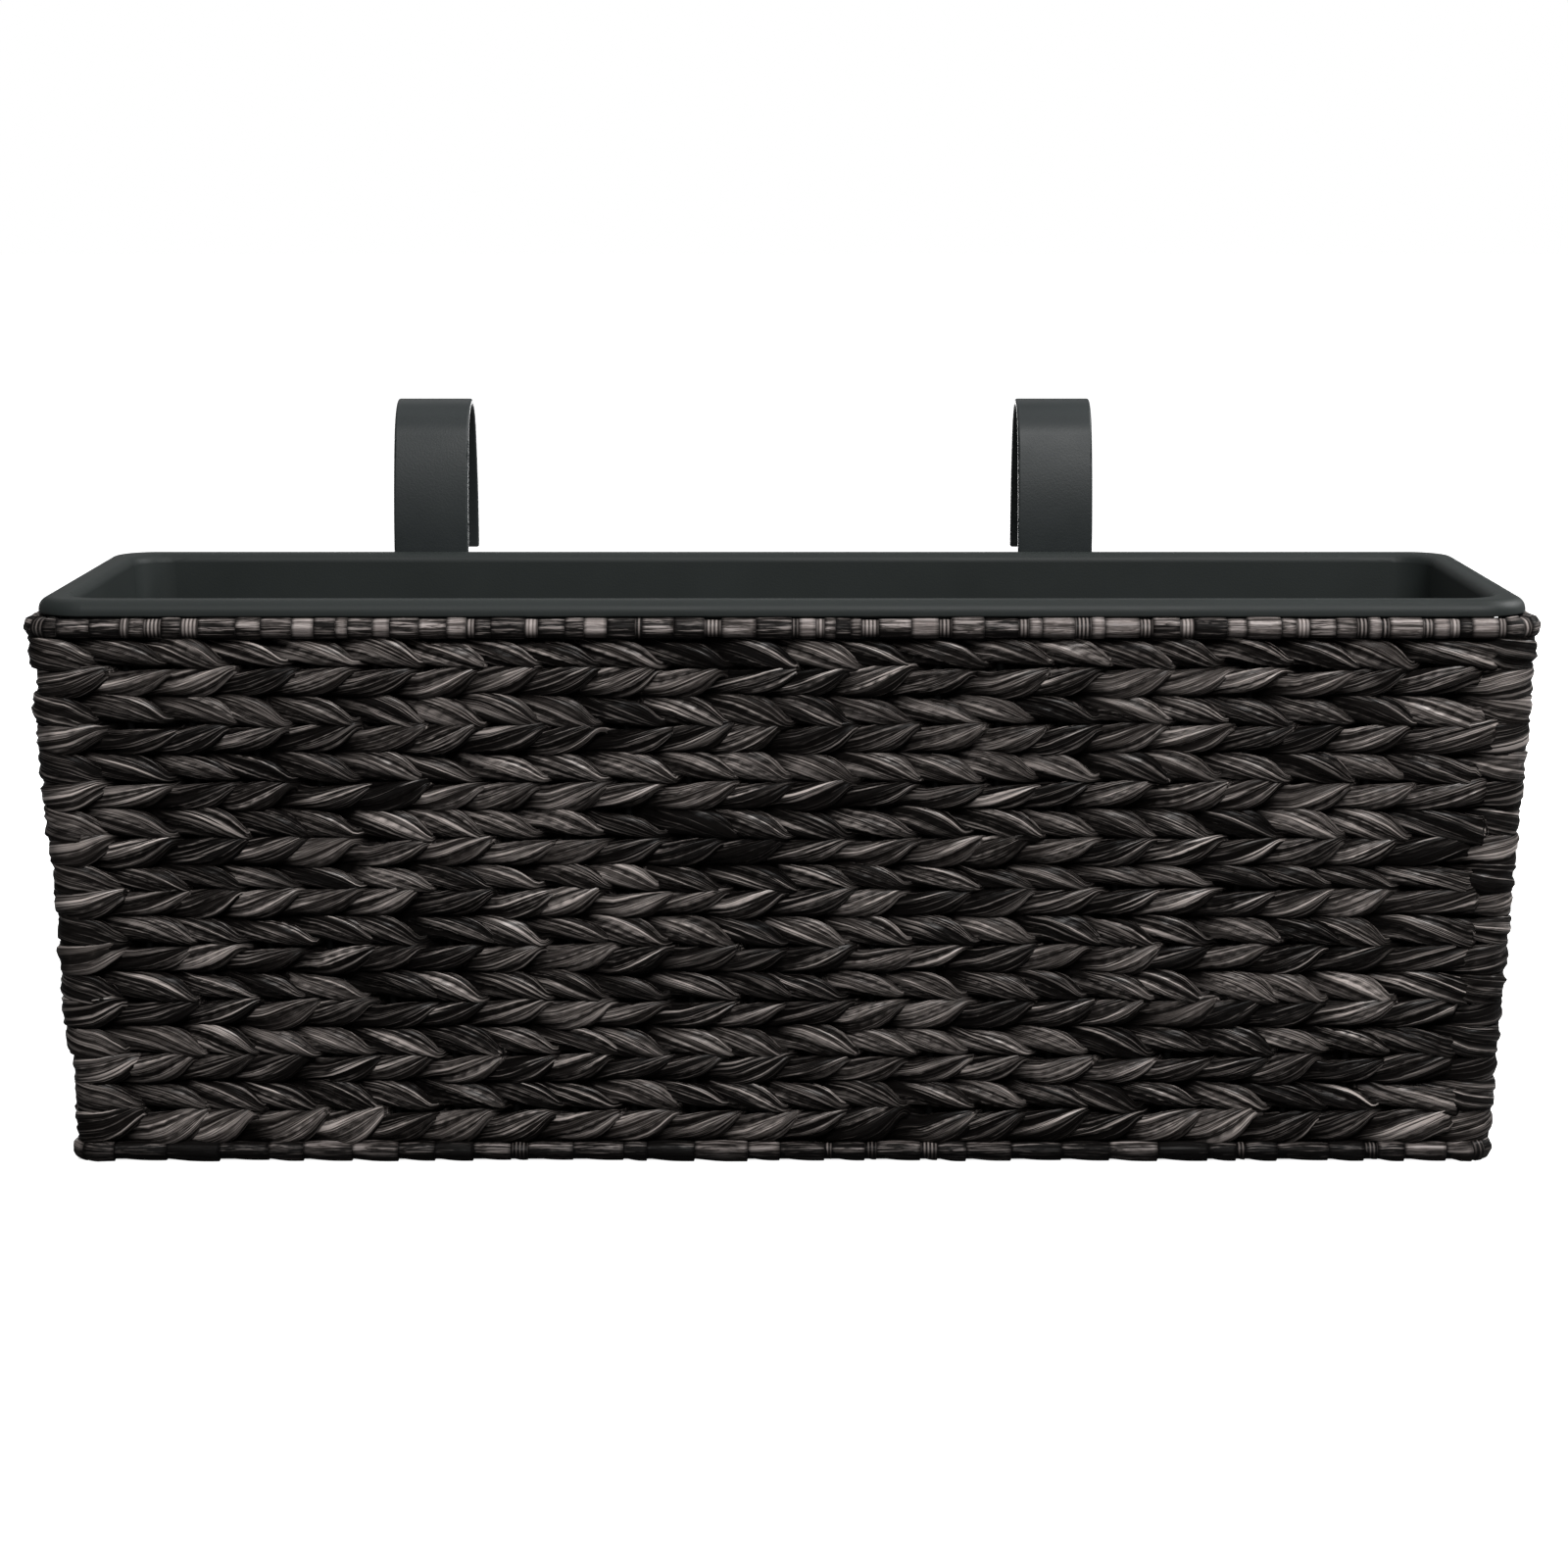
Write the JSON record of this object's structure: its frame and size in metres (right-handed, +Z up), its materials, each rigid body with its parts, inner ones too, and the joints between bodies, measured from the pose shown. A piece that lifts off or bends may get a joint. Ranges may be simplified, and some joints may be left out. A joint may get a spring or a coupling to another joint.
{
  "type": "window box planter",
  "caption": "Long woven window box planter with wrapped borders, a lift-out plastic pot with a thick lip, and flat strap hooks that hang it over a rail.",
  "frame": {"origin": "on the ground, at the middle of the sole of the woven box", "axes": "+Z up; +X along the box; +Y from the front wall towards the rail that it hangs on"},
  "size_m": [0.6, 0.2613, 0.2946],
  "materials": {
    "weave": "twined dark-stained water hyacinth, matt with a slight sheen",
    "border": "dark-stained plant-fibre ribbon wound round a rod",
    "frame_steel": "black-painted steel wire",
    "pot_plastic": "moulded anthracite plastic, satin",
    "hook_steel": "anthracite powder coat, satin"
  },
  "bodies": {
    "basket": {"weave_course_01": "weave", "weave_course_02": "weave", "weave_course_03": "weave", "weave_course_04": "weave", "weave_course_05": "weave", "weave_course_06": "weave", "weave_course_07": "weave", "weave_course_08": "weave", "weave_course_09": "weave", "weave_course_10": "weave", "weave_course_11": "weave", "weave_course_12": "weave", "weave_course_13": "weave", "weave_course_14": "weave", "weave_course_15": "weave", "weave_course_16": "weave", "weave_course_17": "weave", "weave_course_18": "weave", "top_border_wrap": "border", "bottom_border_wrap": "border", "stakes_front": "frame_steel", "stakes_back": "frame_steel", "stakes_left": "frame_steel", "stakes_right": "frame_steel", "corner_posts": "frame_steel", "top_rim_rod": "frame_steel", "bottom_rim_rod": "frame_steel", "base_cross_wires": "frame_steel", "base_long_wires": "frame_steel"},
    "pot": {"liner": "pot_plastic"},
    "left_hook": {"hook_left": "hook_steel"},
    "right_hook": {"hook_right": "hook_steel"}
  },
  "joints": [
    {"name": "liner_lift", "type": "slide", "parent": "basket", "child": "pot", "axis": [0, 0, 1], "range_m": [0, 0.32]},
    {"name": "left_hook_swing", "type": "hinge", "parent": "basket", "child": "left_hook", "pos_m": [-0.156, 0.0958, 0.2187], "axis": [1, 0, 0], "range_deg": [0, 30]},
    {"name": "right_hook_swing", "type": "hinge", "parent": "basket", "child": "right_hook", "pos_m": [0.1213, 0.0958, 0.2187], "axis": [1, 0, 0], "range_deg": [0, 30]}
  ]
}
